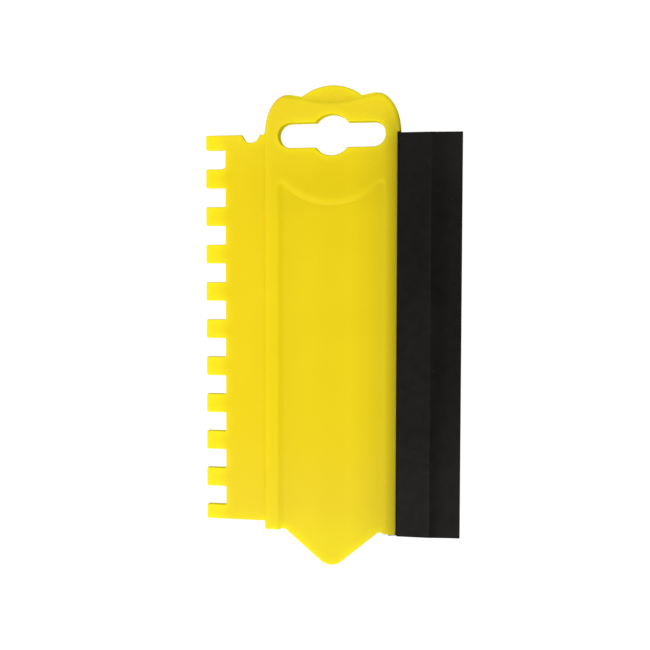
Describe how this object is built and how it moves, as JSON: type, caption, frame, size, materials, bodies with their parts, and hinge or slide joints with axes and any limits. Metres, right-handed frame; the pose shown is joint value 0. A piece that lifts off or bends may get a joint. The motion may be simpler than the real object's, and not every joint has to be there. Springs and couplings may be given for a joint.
{
  "type": "notched trowel",
  "caption": "Flat plastic hand spreader with a square-notched comb along one side, a rubber squeegee blade along the other, a pointed tip and a hanging slot.",
  "frame": {"origin": "under the middle of the tool's outline, on the face it lies on", "axes": "+X from the comb to the rubber blade, +Y from the pointed tip to the hanging slot, +Z out of the face that shows"},
  "size_m": [0.0816, 0.1512, 0.0044],
  "materials": {
    "yellow_plastic": "satin, slightly translucent moulded plastic",
    "black_rubber": "matt moulded rubber"
  },
  "bodies": {
    "spreader": {"spreader_body": "yellow_plastic"},
    "blade": {"squeegee_blade": "black_rubber"}
  },
  "joints": [
    {"name": "blade_slide", "type": "slide", "parent": "spreader", "child": "blade", "axis": [0, -1, 0], "range_m": [0, 0.115]}
  ]
}
